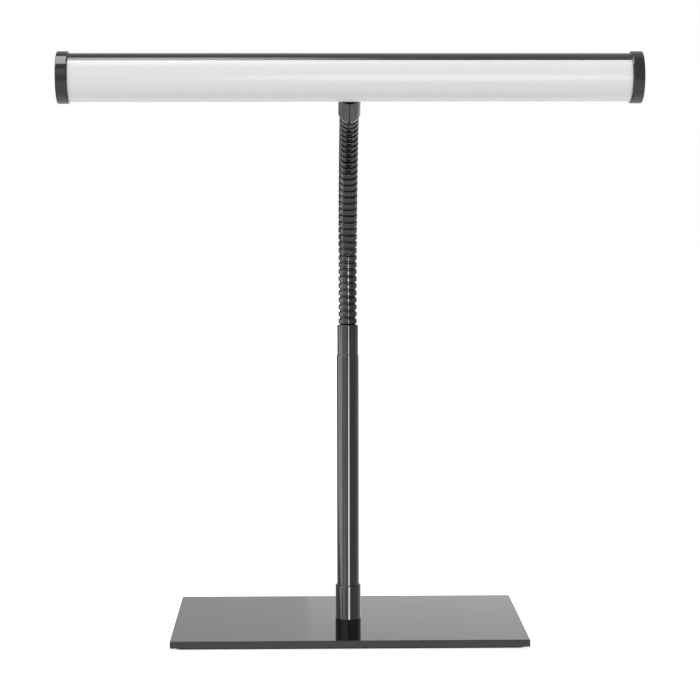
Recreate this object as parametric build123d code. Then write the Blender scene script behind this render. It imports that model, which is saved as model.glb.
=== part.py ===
from build123d import *
import os
from math import cos, degrees, radians, sin, sqrt

# A piano lamp: plate base, round post, ribbed gooseneck and a tubular light bar.
# Millimetres. The origin is on the post's axis, in the plane that the lamp stands on.
# +Z is up, -Y is the front, where the light falls, and the light bar runs along X.

# ---- driving dimensions -------------------------------------------------------------

# Base: a flat steel plate on a thin pad.
PLATE_WIDTH = 250.0
PLATE_DEPTH = 160.0
PLATE_THICKNESS = 5.0
PLATE_EDGE_BREAK = 0.4
PAD_THICKNESS = 1.5
PAD_INSET = 4.0
PAD_CORNER_RADIUS = 4.0

# Post: a tube in a short collar, screwed to the plate through a plug in its foot.
POST_DIAMETER = 16.0
POST_WALL = 1.2
POST_HEIGHT = 192.2
POST_EDGE_RADIUS = 0.4
COLLAR_WALL = 1.2
COLLAR_HEIGHT = 24.5
COLLAR_EDGE_RADIUS = 0.5
FOOT_PLUG_HEIGHT = 10.0
BASE_SCREW_DIAMETER = 8.0
BASE_SCREW_HEAD_DIAMETER = 15.0
BASE_SCREW_ENGAGEMENT = 8.0
BASE_SCREW_SOCKET_SIZE = 5.0
BASE_SCREW_SOCKET_DEPTH = 2.5
PRESS_CLEARANCE = 0.05
SCREW_CLEARANCE = 0.25

# Cord outlet in the back of the collar.
CORD_BORE_DIAMETER = 5.2
GROMMET_WALL = 1.0
GROMMET_FLANGE_DIAMETER = 10.4
GROMMET_FLANGE_PROUD = 1.4
GROMMET_INNER_REACH = 1.0
CORD_OUTLET_HEIGHT = 17.0

# Lower ferrule: plugged into the post's top, held by a grub screw at the back.
FERRULE_DIAMETER = 15.2
FERRULE_EXPOSED = 21.7
FERRULE_SPIGOT_LENGTH = 24.0
FERRULE_EDGE_RADIUS = 0.4
GRUB_DIAMETER = 3.0
GRUB_DEPTH_IN_SPIGOT = 2.6
GRUB_BELOW_POST_TOP = 12.0
GRUB_SOCKET_SIZE = 1.5
GRUB_SOCKET_DEPTH = 1.6
GRUB_BELOW_SURFACE = 0.4

# Gooseneck: rings on a core, in short rigid links that meet in ball joints.
RING_DIAMETER = 13.5
RING_PITCH = 5.12
RING_GAP = 1.55
RING_EDGE_RADIUS = 0.6
CORE_DIAMETER = 11.7
BALL_DIAMETER = 11.6
SOCKET_CLEARANCE = 0.25
BALL_ABOVE_CENTRE = 3.2
LEAD_BORE_DIAMETER = 4.4
CRIMP_DIAMETER = 10.0
CRIMP_LENGTH = 9.0
ROOT_RINGS = 1
TIP_RINGS = 2
LINK_RINGS = 3
LINK_COUNT = 10

# Rest curve of the gooseneck: straight, then two arcs towards the front.
STRAIGHT_RINGS = 2
LOWER_ARC_RINGS = 10
LOWER_ARC_ANGLE = 12.9
UPPER_ARC_ANGLE = 43.4

# Coupling on top of the gooseneck.
COUPLING_DIAMETER = 15.3
COUPLING_LENGTH = 25.1
COUPLING_TAPER_LENGTH = 4.7
COUPLING_TAPER_DEPTH = 1.25
COUPLING_RIM_RADIUS = 0.35

# Swivel between the coupling and the light bar: a hollow stud, two saddles, washer, nut.
STUD_DIAMETER = 10.0
STUD_BORE_DIAMETER = 6.0
STUD_ENGAGEMENT = 8.0
STUD_PAST_NUT = 1.0
SADDLE_DIAMETER = 12.6
SADDLE_HEIGHT = 3.7
INNER_SADDLE_DIAMETER = 13.0
INNER_SADDLE_RIM = 1.2
WASHER_DIAMETER = 13.0
WASHER_THICKNESS = 1.0
NUT_ACROSS_FLATS = 11.5
NUT_THICKNESS = 3.6
SWIVEL_RADIAL_CLEARANCE = 0.08
SWIVEL_FACE_CLEARANCE = 0.1
HOUSING_HOLE_CLEARANCE = 0.5

# Light bar: half-open metal housing, opal lens and two caps.
BAR_DIAMETER = 32.4
BAR_LENGTH = 390.0
CAP_DIAMETER = 35.0
CAP_LENGTH = 8.0
CAP_EDGE_RADIUS = 0.8
CAP_SPIGOT_LENGTH = 4.0
CAP_SPIGOT_CLEARANCE = 0.15
HOUSING_WALL = 1.75
LENS_WALL = 2.0
LENS_UPPER_ANGLE = 42.4
LENS_LOWER_ANGLE = -102.0
LENS_JOINT_GAP = 0.1
LENS_INNER_GAP = 0.1
WEB_THICKNESS = 1.5
LIP_THICKNESS = 1.1
LIP_REACH_ANGLE = 6.0
LIP_ROOT_ANGLE = 5.0
FULL_TURN = 360.0

# Light source and driver.
BOARD_WIDTH = 12.0
BOARD_THICKNESS = 1.2
BOARD_END_MARGIN = 6.0
CHIP_WIDTH = 2.8
CHIP_LENGTH = 3.5
CHIP_HEIGHT = 0.8
CHIP_PITCH = 10.0
DRIVER_LENGTH = 70.0
DRIVER_WIDTH = 14.0
DRIVER_HEIGHT = 9.0
DRIVER_EDGE_RADIUS = 1.0
DRIVER_NEAR_END = -50.0

# Inner leads.
LEAD_DIAMETER = 3.0
LEAD_BEND_RADIUS = 5.0
LEAD_IN_STUD = 5.0
LEAD_POST_START = 34.0

# Push switch in the back of the housing.
SWITCH_OFFSET = 60.0
SWITCH_BARREL_DIAMETER = 9.6
SWITCH_HOLE_CLEARANCE = 0.1
SWITCH_BODY_SIZE = 11.0
SWITCH_BODY_DEPTH = 4.0
SWITCH_DEPTH_IN_BAR = 9.0
BEZEL_DIAMETER = 12.4
BEZEL_PROUD = 1.5
BUTTON_DIAMETER = 7.0
BUTTON_CLEARANCE = 0.08
BUTTON_PROUD = 2.2
BUTTON_EDGE_RADIUS = 0.5
BUTTON_TRAVEL = 1.5
BUTTON_FLANGE_WIDTH = 0.5
BUTTON_FLANGE_THICKNESS = 1.5
BUTTON_STOP_CLEARANCE = 0.3
BUTTON_FLOOR_CLEARANCE = 0.3
SWITCH_LIP_THICKNESS = 3.0

# ---- places worked out from them ----------------------------------------------------

PLATE_TOP = PAD_THICKNESS + PLATE_THICKNESS
POST_TOP = PLATE_TOP + POST_HEIGHT
POST_BORE_RADIUS = POST_DIAMETER / 2 - POST_WALL
SPIGOT_RADIUS = POST_BORE_RADIUS - PRESS_CLEARANCE
COLLAR_BORE_RADIUS = POST_DIAMETER / 2 + PRESS_CLEARANCE
COLLAR_RADIUS = COLLAR_BORE_RADIUS + COLLAR_WALL
CORD_OUTLET_Z = PLATE_TOP + CORD_OUTLET_HEIGHT
GROMMET_RADIUS = CORD_BORE_DIAMETER / 2 + GROMMET_WALL

NECK_START = POST_TOP + FERRULE_EXPOSED
RING_LENGTH = RING_PITCH - RING_GAP
SOCKET_RADIUS = BALL_DIAMETER / 2 + SOCKET_CLEARANCE
NECK_RINGS = ROOT_RINGS + LINK_COUNT * LINK_RINGS + TIP_RINGS
STRAIGHT_LENGTH = STRAIGHT_RINGS * RING_PITCH
LOWER_ARC_LENGTH = LOWER_ARC_RINGS * RING_PITCH
NECK_LENGTH = NECK_RINGS * RING_PITCH
UPPER_ARC_LENGTH = NECK_LENGTH - STRAIGHT_LENGTH - LOWER_ARC_LENGTH
LOWER_ARC_RADIUS = LOWER_ARC_LENGTH / radians(LOWER_ARC_ANGLE)
UPPER_ARC_RADIUS = UPPER_ARC_LENGTH / radians(UPPER_ARC_ANGLE)

BAR_RADIUS = BAR_DIAMETER / 2
HOUSING_BORE_RADIUS = BAR_RADIUS - HOUSING_WALL
LENS_INNER_RADIUS = BAR_RADIUS - LENS_WALL
TUBE_LENGTH = BAR_LENGTH - 2 * CAP_LENGTH
LENS_FACING = (LENS_UPPER_ANGLE + LENS_LOWER_ANGLE) / 2
LENS_HALF_ANGLE = (LENS_UPPER_ANGLE - LENS_LOWER_ANGLE) / 2
WEB_FRONT = HOUSING_BORE_RADIUS * cos(radians(LENS_HALF_ANGLE))
WEB_BACK = WEB_FRONT - WEB_THICKNESS
LIP_OUTER_RADIUS = LENS_INNER_RADIUS - LENS_INNER_GAP
LIP_INNER_RADIUS = LIP_OUTER_RADIUS - LIP_THICKNESS

STUD_RADIUS = STUD_DIAMETER / 2 - PRESS_CLEARANCE
SWIVEL_BORE_RADIUS = STUD_DIAMETER / 2 + SWIVEL_RADIAL_CLEARANCE
SADDLE_TOP = SWIVEL_FACE_CLEARANCE + SADDLE_HEIGHT
BAR_CENTRE_ABOVE_COUPLING = SADDLE_TOP + BAR_RADIUS
INNER_SADDLE_FLAT = sqrt(HOUSING_BORE_RADIUS**2 - (INNER_SADDLE_DIAMETER / 2) ** 2) - INNER_SADDLE_RIM
WASHER_SEAT = INNER_SADDLE_FLAT - SWIVEL_FACE_CLEARANCE
NUT_SEAT = WASHER_SEAT - WASHER_THICKNESS
STUD_TIP = NUT_SEAT - NUT_THICKNESS - STUD_PAST_NUT

BARREL_RADIUS = SWITCH_BARREL_DIAMETER / 2
BUTTON_RADIUS = BUTTON_DIAMETER / 2
BEZEL_FACE = BAR_RADIUS + BEZEL_PROUD
BUTTON_FACE = BEZEL_FACE + BUTTON_PROUD
SWITCH_LIP_FACE = BEZEL_FACE - SWITCH_LIP_THICKNESS
SWITCH_FLOOR = BAR_RADIUS - SWITCH_DEPTH_IN_BAR
BUTTON_FLANGE_TOP = SWITCH_LIP_FACE - BUTTON_STOP_CLEARANCE
BUTTON_FLANGE_BOTTOM = BUTTON_FLANGE_TOP - BUTTON_FLANGE_THICKNESS
CHAMBER_FLOOR = BUTTON_FLANGE_BOTTOM - BUTTON_TRAVEL - BUTTON_FLOOR_CLEARANCE

# ---- frames of reference --------------------------------------------------------------


def neck_location(length):
    """Place on the neck's centre line at a length from its start, with local Z along it."""
    if length <= STRAIGHT_LENGTH:
        return Location((0, 0, NECK_START + length))
    straight_top = NECK_START + STRAIGHT_LENGTH
    in_lower = min(length - STRAIGHT_LENGTH, LOWER_ARC_LENGTH)
    lower_angle = in_lower / LOWER_ARC_RADIUS
    y = -LOWER_ARC_RADIUS * (1 - cos(lower_angle))
    z = straight_top + LOWER_ARC_RADIUS * sin(lower_angle)
    in_upper = length - STRAIGHT_LENGTH - in_lower
    angle = lower_angle + in_upper / UPPER_ARC_RADIUS
    y -= UPPER_ARC_RADIUS * (cos(lower_angle) - cos(angle))
    z += UPPER_ARC_RADIUS * (sin(angle) - sin(lower_angle))
    return Location((0, y, z), (degrees(angle), 0, 0))


NECK_END = neck_location(NECK_LENGTH)
BAR_CENTRE = NECK_END * Location((0, 0, COUPLING_LENGTH + BAR_CENTRE_ABOVE_COUPLING))
BAR_POINT = Vector(BAR_CENTRE.position)

# The bar's section frame has its local -Y towards the middle of the lens.
BAR_SECTION = Location(BAR_POINT, (-LENS_FACING, 0, 0))

# The swivel frame starts at the bar's centre, with local Z down the stud to the coupling.
SWIVEL = BAR_CENTRE * Location((0, 0, 0), (180, 0, 0))

# The switch frame starts at the bar's centre, with local Z straight back.
SWITCH = Location(BAR_POINT + Vector(SWITCH_OFFSET, 0, 0), (-90, 0, 0))


def rod(radius, bottom, top):
    """Solid cylinder along local Z from one height to another."""
    return Pos(0, 0, bottom) * Cylinder(
        radius, top - bottom, align=(Align.CENTER, Align.CENTER, Align.MIN)
    )


def sleeve(outer_radius, inner_radius, bottom, top):
    """Hollow cylinder along local Z from one height to another."""
    return rod(outer_radius, bottom, top) - rod(inner_radius, bottom, top)


def hexagon(across_flats, bottom, top):
    """Hexagonal prism along local Z from one height to another."""
    outline = RegularPolygon(across_flats / 2, 6, major_radius=False)
    return Pos(0, 0, bottom) * extrude(outline, top - bottom)


def bar_cylinder(radius, length=BAR_LENGTH, middle=0):
    """Cylinder on the bar's long axis."""
    return Location(BAR_POINT + Vector(middle, 0, 0), (0, 90, 0)) * Cylinder(radius, length)


def rim_point(radius, angle, x):
    """Point of the bar's section; angle 0 is the front and 90 the top."""
    return BAR_POINT + Vector(x, -radius * cos(radians(angle)), radius * sin(radians(angle)))


def bar_sector(inner_radius, outer_radius, start, end, length=TUBE_LENGTH):
    """Part of a tube on the bar's axis, between two angles of its section."""
    x = -length / 2
    middle = (start + end) / 2
    outline = Wire(
        [
            ThreePointArc(
                rim_point(outer_radius, start, x),
                rim_point(outer_radius, middle, x),
                rim_point(outer_radius, end, x),
            ),
            Line(rim_point(outer_radius, end, x), rim_point(inner_radius, end, x)),
            ThreePointArc(
                rim_point(inner_radius, end, x),
                rim_point(inner_radius, middle, x),
                rim_point(inner_radius, start, x),
            ),
            Line(rim_point(inner_radius, start, x), rim_point(outer_radius, start, x)),
        ]
    )
    return extrude(Face(outline), length, dir=(1, 0, 0))


def section_slab(front, back, width, length):
    """Flat slab in the bar, between two depths measured from its axis towards the lens."""
    depth = front - back
    return BAR_SECTION * Pos(0, -(front + back) / 2, 0) * Box(length, depth, width)


# ---- base and post ----------------------------------------------------------------------


def base_plate():
    """Steel plate with a countersunk hole for the post's screw."""
    plate = Pos(0, 0, PAD_THICKNESS) * Box(
        PLATE_WIDTH, PLATE_DEPTH, PLATE_THICKNESS, align=(Align.CENTER, Align.CENTER, Align.MIN)
    )
    plate = fillet(plate.edges(), PLATE_EDGE_BREAK)
    shank = BASE_SCREW_DIAMETER / 2 + SCREW_CLEARANCE
    plate -= rod(shank, PAD_THICKNESS, PLATE_TOP)
    return plate - screw_head_cone()


def screw_head_cone():
    """Countersunk head of the base screw, flush with the plate's underside."""
    head = BASE_SCREW_HEAD_DIAMETER / 2
    shank = BASE_SCREW_DIAMETER / 2
    height = head - shank
    return Pos(0, 0, PAD_THICKNESS) * Cone(
        head, shank, height, align=(Align.CENTER, Align.CENTER, Align.MIN)
    )


def base_pad():
    """Thin pad glued under the plate."""
    width = PLATE_WIDTH - 2 * PAD_INSET
    depth = PLATE_DEPTH - 2 * PAD_INSET
    return extrude(RectangleRounded(width, depth, PAD_CORNER_RADIUS), PAD_THICKNESS)


def base_screw():
    """Countersunk screw with a hexagon socket, up through the plate into the foot plug."""
    top = PLATE_TOP + BASE_SCREW_ENGAGEMENT
    screw = screw_head_cone() + rod(BASE_SCREW_DIAMETER / 2, PAD_THICKNESS, top)
    socket = hexagon(BASE_SCREW_SOCKET_SIZE, PAD_THICKNESS, PAD_THICKNESS + BASE_SCREW_SOCKET_DEPTH)
    return screw - socket


def post_foot_plug():
    """Threaded plug pressed into the foot of the post."""
    plug = rod(SPIGOT_RADIUS, PLATE_TOP, PLATE_TOP + FOOT_PLUG_HEIGHT)
    thread = rod(
        BASE_SCREW_DIAMETER / 2 + PRESS_CLEARANCE, PLATE_TOP, PLATE_TOP + FOOT_PLUG_HEIGHT
    )
    return plug - thread


def cord_hole():
    """Round hole for the grommet, from the post's axis out through its back."""
    outlet = Location((0, 0, CORD_OUTLET_Z), (-90, 0, 0))
    return outlet * rod(GROMMET_RADIUS, 0, 2 * COLLAR_RADIUS)


def post_tube():
    """Post, with holes for the cord and for the ferrule's grub screw."""
    tube = rod(POST_DIAMETER / 2, PLATE_TOP, POST_TOP)
    tube = fillet(tube.edges().group_by(Axis.Z)[-1], POST_EDGE_RADIUS)
    tube -= rod(POST_BORE_RADIUS, PLATE_TOP, POST_TOP)
    return tube - cord_hole() - grub_hole()


def post_collar():
    """Sleeve round the foot of the post."""
    top = PLATE_TOP + COLLAR_HEIGHT
    collar = rod(COLLAR_RADIUS, PLATE_TOP, top)
    collar = fillet(collar.edges().group_by(Axis.Z)[-1], COLLAR_EDGE_RADIUS)
    return collar - rod(COLLAR_BORE_RADIUS, PLATE_TOP, top) - cord_hole()


def cord_grommet():
    """Rubber bush in the cord hole, with a flange that lies on the collar."""
    outlet = Location((0, 0, CORD_OUTLET_Z), (-90, 0, 0))
    inner_face = POST_BORE_RADIUS - GROMMET_INNER_REACH
    outer_face = COLLAR_RADIUS + GROMMET_FLANGE_PROUD
    flange = rod(GROMMET_FLANGE_DIAMETER / 2, inner_face, outer_face)
    flange = fillet(flange.edges().group_by(Axis.Z)[-1], GROMMET_WALL / 2)
    flange = outlet * flange - rod(COLLAR_RADIUS, PLATE_TOP, POST_TOP)
    bush = outlet * rod(GROMMET_RADIUS, inner_face, outer_face - GROMMET_WALL / 2)
    return flange + bush - outlet * rod(CORD_BORE_DIAMETER / 2, 0, 2 * COLLAR_RADIUS)


def grub_hole():
    """Hole for the grub screw, through the back of the post and into the ferrule."""
    bottom = SPIGOT_RADIUS - GRUB_DEPTH_IN_SPIGOT
    return grub_location() * rod(GRUB_DIAMETER / 2, bottom, POST_DIAMETER)


def grub_location():
    """Axis of the grub screw, pointing out of the back of the post."""
    return Location((0, 0, POST_TOP - GRUB_BELOW_POST_TOP), (-90, 0, 0))


def ferrule_set_screw():
    """Grub screw with a hexagon socket, just under the post's surface."""
    bottom = SPIGOT_RADIUS - GRUB_DEPTH_IN_SPIGOT
    face = POST_DIAMETER / 2 - GRUB_BELOW_SURFACE
    screw = rod(GRUB_DIAMETER / 2, bottom, face)
    socket = hexagon(GRUB_SOCKET_SIZE, face - GRUB_SOCKET_DEPTH, face)
    return grub_location() * (screw - socket)


def neck_lower_ferrule():
    """Turned sleeve that joins the gooseneck to the post."""
    exposed = rod(FERRULE_DIAMETER / 2, POST_TOP, NECK_START)
    exposed = fillet(exposed.edges().group_by(Axis.Z)[-1], FERRULE_EDGE_RADIUS)
    ferrule = exposed + rod(SPIGOT_RADIUS, POST_TOP - FERRULE_SPIGOT_LENGTH, NECK_START)
    ferrule -= rod(LEAD_BORE_DIAMETER / 2, POST_TOP - FERRULE_SPIGOT_LENGTH, NECK_START)
    ferrule -= rod(CRIMP_DIAMETER / 2 + PRESS_CLEARANCE, NECK_START - CRIMP_LENGTH, NECK_START)
    return ferrule - grub_hole()


def lead_post():
    """Two-core lead inside the post, up to the gooseneck."""
    return rod(LEAD_DIAMETER / 2, PLATE_TOP + LEAD_POST_START, NECK_START)


# ---- gooseneck ---------------------------------------------------------------------------


def neck_rings(first, last):
    """Rings with rounded edges on their core; ring 1 is the lowest."""
    ring = Cylinder(RING_DIAMETER / 2, RING_LENGTH)
    ring = fillet(ring.edges().filter_by(GeomType.CIRCLE), RING_EDGE_RADIUS)
    core = Cylinder(CORE_DIAMETER / 2, RING_PITCH)
    body = neck_location((first - 0.5) * RING_PITCH) * ring
    for number in range(first + 1, last + 1):
        body += neck_location((number - 0.5) * RING_PITCH) * ring
        body += neck_location((number - 1) * RING_PITCH) * core
    return body


def neck_ball(gap):
    """Ball centred in a gap, standing on the ring below it and cut flat on top."""
    ball = Sphere(BALL_DIAMETER / 2)
    keep = rod(BALL_DIAMETER, -(RING_GAP + RING_LENGTH) / 2, BALL_ABOVE_CENTRE)
    return neck_location(gap * RING_PITCH) * (ball & keep)


def neck_socket(gap):
    """Hollow sphere round the ball of a gap."""
    return neck_location(gap * RING_PITCH) * Sphere(SOCKET_RADIUS)


def neck_bore(first_gap, last_gap):
    """Straight bore for the lead through one link, past both of its ends."""
    start = neck_location(first_gap * RING_PITCH).position
    end = neck_location(last_gap * RING_PITCH).position
    overrun = (end - start).normalized() * RING_PITCH
    plane = Plane(origin=start - overrun, z_dir=end - start + overrun)
    length = (end - start).length + 2 * overrun.length
    return plane * rod(LEAD_BORE_DIAMETER / 2, 0, length)


def gooseneck_root():
    """Lowest rings, crimped into the ferrule, with the first ball on top."""
    neck_core = rod(CORE_DIAMETER / 2, 0, RING_PITCH)
    crimp = rod(CRIMP_DIAMETER / 2, -CRIMP_LENGTH, RING_PITCH)
    root = neck_rings(1, ROOT_RINGS) + neck_location(0) * (neck_core + crimp) + neck_ball(ROOT_RINGS)
    bore = rod(LEAD_BORE_DIAMETER / 2, -CRIMP_LENGTH, (ROOT_RINGS + 1) * RING_PITCH)
    return root - neck_location(0) * bore


def gooseneck_link(number):
    """Three rings with a socket below and a ball above; link 1 is the lowest."""
    below = ROOT_RINGS + (number - 1) * LINK_RINGS
    above = below + LINK_RINGS
    link = neck_rings(below + 1, above) + neck_ball(above) - neck_socket(below)
    return link - neck_bore(below, above)


def gooseneck_tip():
    """Highest rings, with the last socket below, crimped into the coupling."""
    below = NECK_RINGS - TIP_RINGS
    neck_core = rod(CORE_DIAMETER / 2, -RING_PITCH, 0)
    crimp = rod(CRIMP_DIAMETER / 2, -RING_PITCH, CRIMP_LENGTH)
    tip = neck_rings(below + 1, NECK_RINGS) + NECK_END * (neck_core + crimp) - neck_socket(below)
    bore = rod(LEAD_BORE_DIAMETER / 2, -(TIP_RINGS + 1) * RING_PITCH, CRIMP_LENGTH)
    return tip - NECK_END * bore


def neck_coupling():
    """Turned sleeve on the gooseneck's top, tapered below, threaded inside for the stud."""
    radius = COUPLING_DIAMETER / 2
    profile = Polyline(
        (0, 0, 0),
        (radius - COUPLING_TAPER_DEPTH, 0, 0),
        (radius, 0, COUPLING_TAPER_LENGTH),
        (radius, 0, COUPLING_LENGTH),
        (0, 0, COUPLING_LENGTH),
        close=True,
    )
    body = revolve(Face(Wire(profile.edges())), Axis.Z)
    body = fillet(body.edges().group_by(Axis.Z)[-1], COUPLING_RIM_RADIUS)
    body -= rod(CRIMP_DIAMETER / 2 + PRESS_CLEARANCE, 0, CRIMP_LENGTH)
    body -= rod(STUD_BORE_DIAMETER / 2, 0, COUPLING_LENGTH)
    body -= rod(STUD_DIAMETER / 2, COUPLING_LENGTH - STUD_ENGAGEMENT, COUPLING_LENGTH)
    return NECK_END * body


# ---- swivel --------------------------------------------------------------------------------


def swivel_stud():
    """Hollow threaded stud from the coupling into the bar."""
    foot = BAR_CENTRE_ABOVE_COUPLING + STUD_ENGAGEMENT
    return SWIVEL * sleeve(STUD_RADIUS, STUD_BORE_DIAMETER / 2, STUD_TIP, foot)


def head_saddle():
    """Spacer that is flat on the coupling and hollowed to the bar's outside."""
    saddle = SWIVEL * rod(
        SADDLE_DIAMETER / 2, HOUSING_BORE_RADIUS, BAR_CENTRE_ABOVE_COUPLING - SWIVEL_FACE_CLEARANCE
    )
    bore = SWIVEL * rod(SWIVEL_BORE_RADIUS, 0, 2 * BAR_CENTRE_ABOVE_COUPLING)
    return saddle - bar_cylinder(BAR_RADIUS) - bore


def swivel_inner_saddle():
    """Spacer inside the bar, rounded to its bore and flat towards the washer."""
    saddle = SWIVEL * rod(INNER_SADDLE_DIAMETER / 2, INNER_SADDLE_FLAT, BAR_RADIUS)
    bore = SWIVEL * rod(SWIVEL_BORE_RADIUS, 0, 2 * BAR_RADIUS)
    return (saddle & bar_cylinder(HOUSING_BORE_RADIUS)) - bore


def swivel_washer():
    """Friction washer under the nut."""
    return SWIVEL * sleeve(WASHER_DIAMETER / 2, STUD_DIAMETER / 2, NUT_SEAT, WASHER_SEAT)


def swivel_nut():
    """Hexagon nut that sets the swivel's friction."""
    bottom = NUT_SEAT - NUT_THICKNESS
    nut = hexagon(NUT_ACROSS_FLATS, bottom, NUT_SEAT)
    return SWIVEL * (nut - rod(STUD_DIAMETER / 2, bottom, NUT_SEAT))


# ---- light bar -----------------------------------------------------------------------------


def lens_lip(edge, side):
    """Lip behind one edge of the lens; side is +1 above the lens and -1 below it."""
    start = edge - side * LIP_REACH_ANGLE
    end = edge + side * LIP_ROOT_ANGLE
    return bar_sector(LIP_INNER_RADIUS, LIP_OUTER_RADIUS, min(start, end), max(start, end))


def head_housing():
    """Metal shell over the top and back of the bar, with a web and two lips for the lens."""
    shell = bar_sector(HOUSING_BORE_RADIUS, BAR_RADIUS, LENS_UPPER_ANGLE, LENS_LOWER_ANGLE + FULL_TURN)
    web = section_slab(WEB_FRONT, WEB_BACK, BAR_DIAMETER, TUBE_LENGTH)
    web = web & bar_cylinder(HOUSING_BORE_RADIUS + HOUSING_WALL / 2, TUBE_LENGTH)
    housing = shell + web + lens_lip(LENS_UPPER_ANGLE, 1) + lens_lip(LENS_LOWER_ANGLE, -1)
    stud_hole = rod(STUD_DIAMETER / 2 + HOUSING_HOLE_CLEARANCE, STUD_TIP, 2 * BAR_RADIUS)
    switch_hole = rod(BARREL_RADIUS + SWITCH_HOLE_CLEARANCE, SWITCH_FLOOR, 2 * BAR_RADIUS)
    return housing - SWIVEL * stud_hole - SWITCH * switch_hole


def diffuser_lens():
    """Opal diffuser round the front and underside of the bar."""
    gap = degrees(LENS_JOINT_GAP / BAR_RADIUS)
    return bar_sector(
        LENS_INNER_RADIUS, BAR_RADIUS, LENS_LOWER_ANGLE + gap, LENS_UPPER_ANGLE - gap
    )


def end_cap(side):
    """Cap with a spigot inside the tube; side is -1 for the left end and +1 for the right."""
    cap = Cylinder(CAP_DIAMETER / 2, CAP_LENGTH)
    cap = fillet(cap.edges().filter_by(GeomType.CIRCLE), CAP_EDGE_RADIUS)
    cap_middle = side * (BAR_LENGTH - CAP_LENGTH) / 2
    cap = Location(BAR_POINT + Vector(cap_middle, 0, 0), (0, 90, 0)) * cap
    spigot_radius = LIP_INNER_RADIUS - CAP_SPIGOT_CLEARANCE
    spigot_middle = side * (TUBE_LENGTH - CAP_SPIGOT_LENGTH) / 2
    spigot = bar_cylinder(spigot_radius, CAP_SPIGOT_LENGTH, spigot_middle)
    web_slot = section_slab(
        WEB_FRONT + CAP_SPIGOT_CLEARANCE, WEB_BACK - CAP_SPIGOT_CLEARANCE, BAR_DIAMETER, TUBE_LENGTH
    )
    return cap + (spigot - web_slot)


def led_board():
    """Metal-core circuit board on the front of the web."""
    length = TUBE_LENGTH - 2 * (CAP_SPIGOT_LENGTH + BOARD_END_MARGIN)
    return section_slab(WEB_FRONT + BOARD_THICKNESS, WEB_FRONT, BOARD_WIDTH, length)


def led_chips():
    """Row of light-emitting chips on the board, as separate solids."""
    length = TUBE_LENGTH - 2 * (CAP_SPIGOT_LENGTH + BOARD_END_MARGIN)
    count = int(length // CHIP_PITCH)
    seat = WEB_FRONT + BOARD_THICKNESS
    chips = []
    for index in range(count):
        x = (index - (count - 1) / 2) * CHIP_PITCH
        chip = Pos(x, -(seat + CHIP_HEIGHT / 2), 0) * Box(CHIP_LENGTH, CHIP_HEIGHT, CHIP_WIDTH)
        chips.append(BAR_SECTION * chip)
    return Compound(children=chips)


def led_driver():
    """Driver module on the back of the web."""
    middle = DRIVER_NEAR_END - DRIVER_LENGTH / 2
    driver = Box(DRIVER_LENGTH, DRIVER_HEIGHT, DRIVER_WIDTH)
    driver = fillet(driver.edges().filter_by(Axis.X), DRIVER_EDGE_RADIUS)
    return BAR_SECTION * Pos(middle, DRIVER_HEIGHT / 2 - WEB_BACK, 0) * driver


def lead_head():
    """Two-core lead from the stud's bore to the driver."""
    start = (SWIVEL * Pos(0, 0, STUD_TIP + LEAD_IN_STUD)).position
    route = FilletPolyline(
        start, BAR_POINT, BAR_POINT + Vector(DRIVER_NEAR_END, 0, 0), radius=LEAD_BEND_RADIUS
    )
    section = Plane(origin=route @ 0, z_dir=route % 0) * Circle(LEAD_DIAMETER / 2)
    return sweep(section, route)


# ---- switch --------------------------------------------------------------------------------


def switch_body():
    """Push switch: square body inside the bar and a barrel out through its wall."""
    half_case = Pos(0, 0, SWITCH_FLOOR) * Box(
        SWITCH_BODY_SIZE,
        SWITCH_BODY_SIZE,
        SWITCH_BODY_DEPTH,
        align=(Align.CENTER, Align.CENTER, Align.MIN),
    )
    barrel = rod(BARREL_RADIUS, SWITCH_FLOOR, BEZEL_FACE)
    chamber_radius = BUTTON_RADIUS + BUTTON_FLANGE_WIDTH + BUTTON_CLEARANCE
    chamber = rod(chamber_radius, CHAMBER_FLOOR, SWITCH_LIP_FACE)
    throat = rod(BUTTON_RADIUS + BUTTON_CLEARANCE, CHAMBER_FLOOR, BEZEL_FACE)
    return SWITCH * (half_case + barrel - chamber - throat)


def switch_bezel():
    """Ring nut that clamps the switch, hollowed to the bar's outside."""
    ring = rod(BEZEL_DIAMETER / 2, HOUSING_BORE_RADIUS - HOUSING_WALL, BEZEL_FACE)
    ring = fillet(ring.edges().group_by(Axis.Z)[-1], BUTTON_EDGE_RADIUS)
    ring -= rod(BARREL_RADIUS + PRESS_CLEARANCE, 0, 2 * BAR_RADIUS)
    return SWITCH * ring - bar_cylinder(BAR_RADIUS)


def switch_button():
    """Plunger with a flange that keeps it in the barrel."""
    shaft = rod(BUTTON_RADIUS, BUTTON_FLANGE_BOTTOM, BUTTON_FACE)
    shaft = fillet(shaft.edges().group_by(Axis.Z)[-1], BUTTON_EDGE_RADIUS)
    flange = rod(BUTTON_RADIUS + BUTTON_FLANGE_WIDTH, BUTTON_FLANGE_BOTTOM, BUTTON_FLANGE_TOP)
    return SWITCH * (shaft + flange)


# ---- one file per piece ----------------------------------------------------------------------


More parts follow.
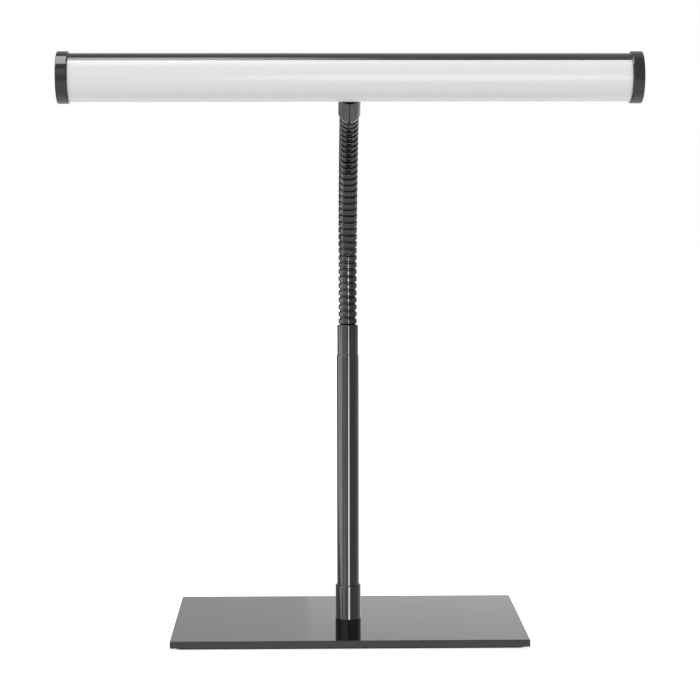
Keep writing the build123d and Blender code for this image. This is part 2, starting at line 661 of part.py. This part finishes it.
def pieces():
    """Every piece of the lamp by name."""
    made = {
        "base_plate": base_plate(),
        "base_pad": base_pad(),
        "base_screw": base_screw(),
        "post_foot_plug": post_foot_plug(),
        "post_tube": post_tube(),
        "post_collar": post_collar(),
        "cord_grommet": cord_grommet(),
        "lead_post": lead_post(),
        "neck_lower_ferrule": neck_lower_ferrule(),
        "ferrule_set_screw": ferrule_set_screw(),
        "gooseneck_root": gooseneck_root(),
        "gooseneck_tip": gooseneck_tip(),
        "neck_coupling": neck_coupling(),
        "swivel_stud": swivel_stud(),
        "swivel_inner_saddle": swivel_inner_saddle(),
        "swivel_washer": swivel_washer(),
        "swivel_nut": swivel_nut(),
        "head_saddle": head_saddle(),
        "head_housing": head_housing(),
        "diffuser_lens": diffuser_lens(),
        "end_cap_left": end_cap(-1),
        "end_cap_right": end_cap(1),
        "led_board": led_board(),
        "led_chips": led_chips(),
        "led_driver": led_driver(),
        "lead_head": lead_head(),
        "switch_body": switch_body(),
        "switch_bezel": switch_bezel(),
        "switch_button": switch_button(),
    }
    for number in range(1, LINK_COUNT + 1):
        made[f"gooseneck_link_{number:02d}"] = gooseneck_link(number)
    return made


os.makedirs("parts", exist_ok=True)
for name, shape in pieces().items():
    export_step(shape, f"parts/{name}.step")
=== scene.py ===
import math

import bpy
from mathutils import Matrix, Vector

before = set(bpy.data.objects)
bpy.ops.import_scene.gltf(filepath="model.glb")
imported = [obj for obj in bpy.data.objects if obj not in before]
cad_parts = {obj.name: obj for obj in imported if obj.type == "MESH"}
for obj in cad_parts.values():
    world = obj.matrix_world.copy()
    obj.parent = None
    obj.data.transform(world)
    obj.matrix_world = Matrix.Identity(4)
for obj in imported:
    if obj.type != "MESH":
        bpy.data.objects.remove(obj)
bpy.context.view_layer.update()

# ---- camera ---------------------------------------------------------------------------

FRAME_PIXELS = 700
SENSOR_MM = 36.0
FOCAL_PIXELS = 2157.2
CAMERA_PLACE = Vector((-0.02911, -1.55226, 0.32838))
CAMERA_PITCH = 4.655
CAMERA_YAW = 1.134
CAMERA_ROLL = -0.075
CLIP_START = 0.05
CLIP_END = 50.0

# ---- floor and soft light -------------------------------------------------------------

FLOOR_RADIUS = 8.0
FLOOR_SIDES = 96
FLOOR_GREY = 0.73
FLOOR_LIFT = 0.70          # added for camera rays only, so that the lit floor shows as white
SKY_LIGHT = 1.04           # what soft surfaces receive from the sides
SKY_TOP_LIGHT = (0.2, 1.0, 0.0, 0.12)      # ramp over a direction's share along +Z

# ---- lamps ----------------------------------------------------------------------------

LAMP_TILT = 90.0           # degrees from shining down to shining towards +Y
FRONT_PLACE = (0.125, -0.96, 0.34)
FRONT_WIDTH = 0.50
FRONT_HEIGHT = 0.40
FRONT_RADIANCE = 5.6       # in units of the white background
STRIP_PLACE = (1.15, -7.9, -1.60)
STRIP_WIDTH = 2.1
STRIP_HEIGHT = 2.9
STRIP_RADIANCE = 11.0      # in units of the white background

# ---- what mirrors see -----------------------------------------------------------------

# Dark card under the floor.
SHADE_LEVEL = -0.2
SHADE_ACROSS = (-0.235, 0.235)
SHADE_DEPTH = (-0.20, 0.125)
SHADE_GLOW = 0.2

# Directions are in degrees: the azimuth from the front, -Y, towards +X, and the height above the
# horizon. A ramp is (low, high, start, end): start below low, end above high, or 0 and 1 when they
# are left out. A span is (low, high, softness): 1 between low and high, 0 outside, soft edges.
ROOM_GLOW = 0.70
FLOOR_GLOW = (-20.0, -14.0, 0.43, 0.0)     # ramp over the height, added well below the horizon
RIGHT_WALL_GLOW = (75.0, 120.0, 0.0, 0.6)  # ramp over the azimuth
RIGHT_WALL_HEIGHT = (-20.0, 10.0, 4.0)     # span
BEHIND = (-0.3, 0.3)                       # ramp over a direction's share along +Y
REAR_LOW_GLOW = (-64.0, -30.0, 0.55, 0.0)  # ramp over the height, added steeply below
REAR_HIGH = (4.0, 9.0)                     # ramp over the height
REAR_HIGH_GLOW = (-0.2, 0.2, 0.09, 0.35)   # ramp over a direction's share along +X

# Ceiling panel, placed where directions meet the plane one unit above.
CEILING_GLOW = 6.0
CEILING_HEIGHT = (10.0, 20.0)              # ramp over the height
CEILING_DEPTH = (-0.56, 0.26, 0.03)        # span along Y
CEILING_LEFT = (-1.4, -1.2)                # ramp along X
CEILING_RIGHT = (-0.06, 0.06, 1.0, 0.0)    # ramp along X

# Patches of the room: a glow inside a span of azimuth and a span of height. The glow and the ends
# of the azimuth are numbers, or ramps over the height.
PANELS = (
    # Low card in front, for the plate's front edge.
    dict(glow=0.68, azimuth=(-5.0, 7.3, 0.5), height=(-18.0, -12.15, 0.2)),
    # Darker stretch of the rear wall on the left.
    dict(glow=-0.35, azimuth=(-172.0, -120.0, 6.0), height=(-9.0, 4.0, 2.0)),
    # Main light on the left, narrow at its foot.
    dict(
        glow=2.7,
        azimuth=((-12.5, -8.0, -66.0, -122.0), -63.0, 2.0),
        height=(-16.0, 6.0, 3.0),
    ),
    # Its weaker neighbour towards the front.
    dict(
        glow=0.75,
        azimuth=(-63.0, (0.0, 12.0, -12.0, -6.2), 3.0),
        height=(-13.0, 35.0, 3.0),
    ),
    # Low light on the left.
    dict(
        glow=2.1,
        azimuth=(-116.0, (-30.0, -16.0, -84.0, -60.0), 4.0),
        height=(-40.0, -14.0, 2.0),
    ),
    # Thin upright light that fades upwards.
    dict(
        glow=(-12.0, -7.0, 1.7, 0.0),
        azimuth=(-43.0, -36.0, 1.5),
        height=(-16.0, 10.0, 2.0),
    ),
)

# Dark gaps straight to the left and right, as shares of the light there. They keep the bar dark
# where it is seen from its ends.
SIDE_GAP_HEIGHT = (-4.0, 9.0, 0.5)
SIDE_GAPS = (
    dict(glow=-0.90, azimuth=(-95.5, -84.5, 0.7), height=SIDE_GAP_HEIGHT),
    dict(glow=-0.60, azimuth=(84.5, 95.5, 0.7), height=SIDE_GAP_HEIGHT),
)

# ---- finishes -------------------------------------------------------------------------

CLOUD_DETAIL = 3.0
GRAIN_DETAIL = 2.0
CLOUD_COLOUR_RANGE = (0.3, 0.7)        # part of the noise over which the colour varies
CLOUD_ROUGHNESS_RANGE = (0.25, 0.75)   # part over which the roughness varies
# Painted shade in the gooseneck's gaps: the colour turns black where walls stand close.
CREVICE_SHADE_SAMPLES = 16
CREVICE_SHADE_RANGE = (0.66, 0.94)           # openness from full painted shade to none
CREVICE_SHADE_COLOUR = (0.001, 0.001, 0.001)
CHROME_EDGE = 0.86                     # reflection at grazing angles, 1 for a plain mirror

# Bright black plating: a dark mirror with a faint orange peel.
BLACK_CHROME = dict(
    dark=(0.052, 0.052, 0.053), light=(0.058, 0.058, 0.059), mottle=60.0, grain=900.0,
    Metallic=1.0, Specular_Tint=(CHROME_EDGE, CHROME_EDGE, CHROME_EDGE, 1.0),
)

# One finish for each material slot of the record, and for the gooseneck a copy of
# black_chrome_steel with painted shade, black in the gaps between its rings.
FINISHES = {
    "black_chrome_steel": dict(BLACK_CHROME, roughness=(0.05, 0.08), grain_height=2e-6),
    # Gooseneck rings: painted shade, black where the gaps between the rings close in.
    "black_chrome_ring_shaded": dict(
        BLACK_CHROME, roughness=(0.05, 0.08), grain_height=2e-6, crevice=0.0011
    ),
    "black_chrome_housing": dict(BLACK_CHROME, roughness=(0.07, 0.10), grain_height=3e-6),
    "black_chrome_cap": dict(BLACK_CHROME, roughness=(0.08, 0.12), grain_height=6e-6),
    "opal_diffuser": dict(
        dark=(0.790, 0.785, 0.774), light=(0.798, 0.793, 0.782), mottle=300.0,
        roughness=(0.22, 0.26), grain=1500.0, grain_height=4e-6, IOR=1.38,
        Subsurface_Weight=0.15, Subsurface_Radius=(0.004, 0.004, 0.004), Subsurface_Scale=1.0,
    ),
    "black_plastic": dict(
        dark=(0.018, 0.018, 0.019), light=(0.026, 0.026, 0.027), mottle=180.0,
        roughness=(0.38, 0.50), grain=4000.0, grain_height=2e-5,
    ),
    "black_rubber": dict(
        dark=(0.014, 0.014, 0.014), light=(0.024, 0.023, 0.022), mottle=120.0,
        roughness=(0.65, 0.85), grain=3000.0, grain_height=5e-5,
    ),
    "steel": dict(
        dark=(0.46, 0.46, 0.45), light=(0.58, 0.58, 0.57), mottle=150.0,
        roughness=(0.25, 0.40), grain=2500.0, grain_height=6e-6, Metallic=1.0,
    ),
    "circuit_board": dict(
        dark=(0.70, 0.71, 0.69), light=(0.80, 0.81, 0.79), mottle=90.0,
        roughness=(0.30, 0.45), grain=2000.0, grain_height=1e-5,
    ),
    "led_yellow": dict(
        dark=(0.80, 0.58, 0.08), light=(0.90, 0.68, 0.14), mottle=400.0,
        roughness=(0.25, 0.35), grain=3000.0, grain_height=5e-6,
    ),
    "driver_case": dict(
        dark=(0.60, 0.60, 0.58), light=(0.70, 0.70, 0.68), mottle=80.0,
        roughness=(0.40, 0.55), grain=3500.0, grain_height=2e-5,
    ),
    "lead_sheath": dict(
        dark=(0.018, 0.018, 0.018), light=(0.028, 0.028, 0.027), mottle=200.0,
        roughness=(0.50, 0.65), grain=2500.0, grain_height=1e-5,
    ),
}

# ---- node names and shader sockets ----------------------------------------------------

RING_NODES = "gooseneck"
STRIP_LIT_NODES = ("post_", "neck_lower", "gooseneck")
DEGREES = math.degrees(1.0)            # degrees in one radian
WHITE = (1.0, 1.0, 1.0, 1.0)

# Places of the colour sockets on Blender's mix node.
MIX_FACTOR = 0
MIX_FIRST = 6
MIX_SECOND = 7
MIX_RESULT = 2


class Tree:
    """Short ways to add and join shader nodes."""

    def __init__(self, owner):
        owner.use_nodes = True
        self.nodes = owner.node_tree.nodes
        self.links = owner.node_tree.links
        self.nodes.clear()

    def node(self, kind, **settings):
        node = self.nodes.new(kind)
        for name, value in settings.items():
            setattr(node, name, value)
        return node

    def put(self, socket, value):
        """Joins an output to the socket, or writes a plain value there."""
        if isinstance(value, bpy.types.NodeSocket):
            self.links.new(value, socket)
        else:
            socket.default_value = value

    def show(self, shader, output="ShaderNodeOutputMaterial"):
        """Makes the shader the surface of the material or the world."""
        self.put(self.node(output).inputs["Surface"], shader)

    def maths(self, operation, *values):
        node = self.node("ShaderNodeMath", operation=operation)
        for socket, value in zip(node.inputs, values):
            self.put(socket, value)
        return node.outputs[0]

    def total(self, *values):
        result = values[0]
        for value in values[1:]:
            result = self.maths("ADD", result, value)
        return result

    def product(self, *values):
        result = values[0]
        for value in values[1:]:
            result = self.maths("MULTIPLY", result, value)
        return result

    def step(self, value, low, high, start=0.0, end=1.0):
        """Smooth step of value: start below low, end above high."""
        node = self.node("ShaderNodeMapRange", interpolation_type="SMOOTHSTEP")
        self.put(node.inputs["Value"], value)
        self.put(node.inputs["From Min"], low)
        self.put(node.inputs["From Max"], high)
        self.put(node.inputs["To Min"], start)
        self.put(node.inputs["To Max"], end)
        return node.outputs[0]

    def window(self, value, low, high, softness):
        """1 where value is between low and high, 0 outside, with soft edges."""
        rise = self.step(
            value, self.maths("SUBTRACT", low, softness), self.maths("ADD", low, softness)
        )
        fall = self.step(
            value, self.maths("SUBTRACT", high, softness), self.maths("ADD", high, softness)
        )
        return self.maths("SUBTRACT", rise, fall)

    def blend(self, factor, first, second):
        """Colour between first and second, which are colours or outputs."""
        mix = self.node("ShaderNodeMix", data_type="RGBA")
        self.put(mix.inputs[MIX_FACTOR], factor)
        self.put(mix.inputs[MIX_FIRST], first)
        self.put(mix.inputs[MIX_SECOND], second)
        return mix.outputs[MIX_RESULT]

    def axes(self, direction):
        """The direction's shares along X, Y and Z."""
        split = self.node("ShaderNodeSeparateXYZ")
        self.put(split.inputs[0], direction)
        return split.outputs


# ---- dressing the object --------------------------------------------------------------


def noise(tree, scale, detail):
    """Noise fixed to the object, from 0 to 1, with scale in cycles per metre."""
    texture = tree.node("ShaderNodeTexNoise")
    place = tree.node("ShaderNodeTexCoord").outputs["Object"]
    tree.put(texture.inputs["Vector"], place)
    tree.put(texture.inputs["Scale"], scale)
    tree.put(texture.inputs["Detail"], detail)
    return texture.outputs["Fac"]


def paint_crevice_shade(tree, colour, reach):
    """Painted shade: the colour, turned black where walls stand closer than reach."""
    openness = tree.node("ShaderNodeAmbientOcclusion", samples=CREVICE_SHADE_SAMPLES)
    tree.put(openness.inputs["Distance"], reach)
    unshaded = tree.step(openness.outputs["AO"], *CREVICE_SHADE_RANGE)
    return tree.blend(unshaded, (*CREVICE_SHADE_COLOUR, 1.0), colour)


def fine_bump(tree, grain, grain_height):
    bump = tree.node("ShaderNodeBump")
    tree.put(bump.inputs["Height"], noise(tree, grain, GRAIN_DETAIL))
    tree.put(bump.inputs["Distance"], grain_height)
    return bump.outputs[0]


def surface(name, dark, light, mottle, roughness, grain, grain_height, crevice=0.0, **sockets):
    """A finish with mottled colour, uneven roughness and a fine grain.

    dark and light are the ends of the colour's variation, mottle its scale in cycles per metre;
    roughness is (smoothest, roughest); grain is the bump's scale in cycles per metre and
    grain_height its height in metres; crevice is the reach in metres of the painted shade that
    turns gaps between walls black, or 0. The other sockets take one plain value each.
    """
    material = bpy.data.materials.new(name)
    tree = Tree(material)
    shader = tree.node("ShaderNodeBsdfPrincipled")
    cloud = noise(tree, mottle, CLOUD_DETAIL)
    colour = tree.blend(tree.step(cloud, *CLOUD_COLOUR_RANGE), (*dark, 1.0), (*light, 1.0))
    # Painted shade: black in gaps between walls, as between the gooseneck's rings.
    if crevice:
        colour = paint_crevice_shade(tree, colour, crevice)
    tree.put(shader.inputs["Base Color"], colour)
    tree.put(shader.inputs["Roughness"], tree.step(cloud, *CLOUD_ROUGHNESS_RANGE, *roughness))
    tree.put(shader.inputs["Normal"], fine_bump(tree, grain, grain_height))
    for socket, value in sockets.items():
        tree.put(shader.inputs[socket.replace("_", " ")], value)
    tree.show(shader.outputs[0])
    return material


def dress():
    """Gives every CAD node the finish of its record slot.

    The plate isn't mirrored in the other parts, so that they show the bright room down to its top.
    """
    finishes = {name: surface(name, **settings) for name, settings in FINISHES.items()}
    for name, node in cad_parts.items():
        for slot in node.material_slots:
            slot_name = slot.material.name.split(".")[0]
            finish = "black_chrome_ring_shaded" if name.startswith(RING_NODES) else slot_name
            slot.material = finishes[finish]
    for name in ("base_plate", "base_pad"):
        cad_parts[name].visible_glossy = False


# ---- studio ---------------------------------------------------------------------------


def flat_object(name, corners):
    """One flat face through the corners, with a material of its own."""
    mesh = bpy.data.meshes.new(name)
    mesh.from_pydata(corners, [], [range(len(corners))])
    material = bpy.data.materials.new(name)
    mesh.materials.append(material)
    item = bpy.data.objects.new(name, mesh)
    bpy.context.scene.collection.objects.link(item)
    return item, Tree(material)


def make_floor():
    """A pale floor, white where it is lit, that keeps the object's shadow."""
    rim = [2 * math.pi * side / FLOOR_SIDES for side in range(FLOOR_SIDES)]
    corners = [(FLOOR_RADIUS * math.cos(turn), FLOOR_RADIUS * math.sin(turn), 0.0) for turn in rim]
    floor, tree = flat_object("studio_floor", corners)
    paint = tree.node("ShaderNodeBsdfDiffuse")
    tree.put(paint.inputs["Color"], (FLOOR_GREY, FLOOR_GREY, FLOOR_GREY, 1.0))
    lift = tree.node("ShaderNodeEmission")
    seen = tree.node("ShaderNodeLightPath").outputs["Is Camera Ray"]
    tree.put(lift.inputs["Strength"], tree.product(seen, FLOOR_LIFT))
    both = tree.node("ShaderNodeAddShader")
    tree.put(both.inputs[0], paint.outputs[0])
    tree.put(both.inputs[1], lift.outputs[0])
    tree.show(both.outputs[0])
    floor.visible_glossy = False
    floor.visible_shadow = False


def make_plate_shade():
    """Dark card under the floor, seen by mirrors only: what the leaning neck shows of the plate."""
    left, right = SHADE_ACROSS
    front, back = SHADE_DEPTH
    outline = [(left, front), (right, front), (right, back), (left, back)]
    shade, tree = flat_object("plate_shade", [(*corner, SHADE_LEVEL) for corner in outline])
    glow = tree.node("ShaderNodeEmission")
    tree.put(glow.inputs["Strength"], SHADE_GLOW)
    tree.show(glow.outputs[0])
    for ray in ("camera", "diffuse", "transmission", "shadow", "volume_scatter"):
        setattr(shade, "visible_" + ray, False)


def oval_lamp(name, place, width, height, radiance, group_name, lit_nodes):
    """Upright oval lamp that shines towards +Y, and on the given nodes only."""
    data = bpy.data.lights.new(name, "AREA")
    data.shape = "ELLIPSE"
    data.size = width
    data.size_y = height
    area = math.pi / 4 * width * height
    data.energy = radiance * math.pi * area
    lamp = bpy.data.objects.new(name, data)
    bpy.context.scene.collection.objects.link(lamp)
    tilt = Matrix.Rotation(math.radians(LAMP_TILT), 4, "X")
    lamp.matrix_world = Matrix.Translation(place) @ tilt
    lamp.visible_camera = False
    group = bpy.data.collections.new(group_name)
    for node in lit_nodes:
        group.objects.link(node)
    lamp.light_linking.receiver_collection = group
    return lamp


def make_lamps():
    """One low in front for the upright parts' long highlight, one for the diffuser's soft sheen."""
    upright = [node for name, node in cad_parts.items() if name.startswith(STRIP_LIT_NODES)]
    oval_lamp(
        "strip_light", STRIP_PLACE, STRIP_WIDTH, STRIP_HEIGHT, STRIP_RADIANCE,
        "upright_parts", upright,
    )
    sheen = oval_lamp(
        "front_lamp", FRONT_PLACE, FRONT_WIDTH, FRONT_HEIGHT, FRONT_RADIANCE,
        "diffuser_parts", [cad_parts["diffuser_lens"]],
    )
    sheen.visible_diffuse = False


def panel_light(tree, panel, azimuth, height):
    """The panel's glow in each direction."""
    def at_height(value):
        return tree.step(height, *value) if isinstance(value, tuple) else value

    low, high, softness = panel["azimuth"]
    return tree.product(
        at_height(panel["glow"]),
        tree.window(azimuth, at_height(low), at_height(high), softness),
        tree.window(height, *panel["height"]),
    )


def rear_light(tree, across, depth, height):
    """What the room behind adds: steeply below, and above the horizon, there more on the right."""
    above = tree.product(tree.step(height, *REAR_HIGH), tree.step(across, *REAR_HIGH_GLOW))
    below = tree.step(height, *REAR_LOW_GLOW)
    return tree.product(tree.step(depth, *BEHIND), tree.total(above, below))


def ceiling_light(tree, across, depth, up, height):
    """The ceiling panel's glow in each direction."""
    over_across = tree.maths("DIVIDE", across, up)
    over_depth = tree.maths("DIVIDE", depth, up)
    return tree.product(
        CEILING_GLOW,
        tree.step(height, *CEILING_HEIGHT),
        tree.window(over_depth, *CEILING_DEPTH),
        tree.step(over_across, *CEILING_RIGHT),
        tree.step(over_across, *CEILING_LEFT),
    )


def mirrored_studio(tree, direction):
    """What glossy surfaces see in each direction: a white room with its panels of light."""
    across, depth, up = tree.axes(direction)
    forward = tree.product(depth, -1.0)
    azimuth = tree.product(tree.maths("ARCTAN2", across, forward), DEGREES)
    height = tree.product(tree.maths("ARCSINE", up), DEGREES)
    right_wall = tree.product(
        tree.step(azimuth, *RIGHT_WALL_GLOW), tree.window(height, *RIGHT_WALL_HEIGHT)
    )
    light = tree.total(
        ROOM_GLOW,
        tree.step(height, *FLOOR_GLOW),
        right_wall,
        rear_light(tree, across, depth, height),
        ceiling_light(tree, across, depth, up, height),
        *[panel_light(tree, panel, azimuth, height) for panel in PANELS],
    )
    gaps = [panel_light(tree, gap, azimuth, height) for gap in SIDE_GAPS]
    return tree.product(light, tree.total(1.0, *gaps))


def make_world():
    """White room: plain soft light for soft surfaces, and the lit panels for glossy ones."""
    world = bpy.data.worlds.new("studio")
    bpy.context.scene.world = world
    tree = Tree(world)
    direction = tree.node("ShaderNodeTexCoord").outputs["Generated"]
    soft_light = tree.total(SKY_LIGHT, tree.step(tree.axes(direction)["Z"], *SKY_TOP_LIGHT))
    rays = tree.node("ShaderNodeLightPath").outputs
    glossy = rays["Is Glossy Ray"]
    background = tree.maths("MAXIMUM", rays["Is Camera Ray"], rays["Is Transmission Ray"])
    neither = tree.maths("SUBTRACT", 1.0, tree.maths("MAXIMUM", background, glossy))
    strength = tree.total(
        background,
        tree.product(glossy, mirrored_studio(tree, direction)),
        tree.product(neither, soft_light),
    )
    light = tree.node("ShaderNodeBackground")
    tree.put(light.inputs["Color"], WHITE)
    tree.put(light.inputs["Strength"], strength)
    tree.show(light.outputs[0], "ShaderNodeOutputWorld")
    world.cycles.sampling_method = "NONE"


def make_camera():
    """Camera in front of the lamp, looking a little down and a little to the right."""
    data = bpy.data.cameras.new("camera")
    data.sensor_width = SENSOR_MM
    data.lens = FOCAL_PIXELS / FRAME_PIXELS * SENSOR_MM
    data.clip_start = CLIP_START
    data.clip_end = CLIP_END
    camera = bpy.data.objects.new("camera", data)
    bpy.context.scene.collection.objects.link(camera)
    yaw = math.radians(CAMERA_YAW)
    pitch = math.radians(CAMERA_PITCH)
    level = math.cos(pitch)
    forward = Vector((math.sin(yaw) * level, math.cos(yaw) * level, -math.sin(pitch)))
    turn = forward.to_track_quat("-Z", "Y").to_matrix().to_4x4()
    roll = Matrix.Rotation(math.radians(CAMERA_ROLL), 4, "Z")
    camera.matrix_world = Matrix.Translation(CAMERA_PLACE) @ turn @ roll
    bpy.context.scene.camera = camera


dress()
make_floor()
make_world()
make_plate_shade()
make_lamps()
make_camera()
bpy.context.scene.view_settings.view_transform = "Standard"
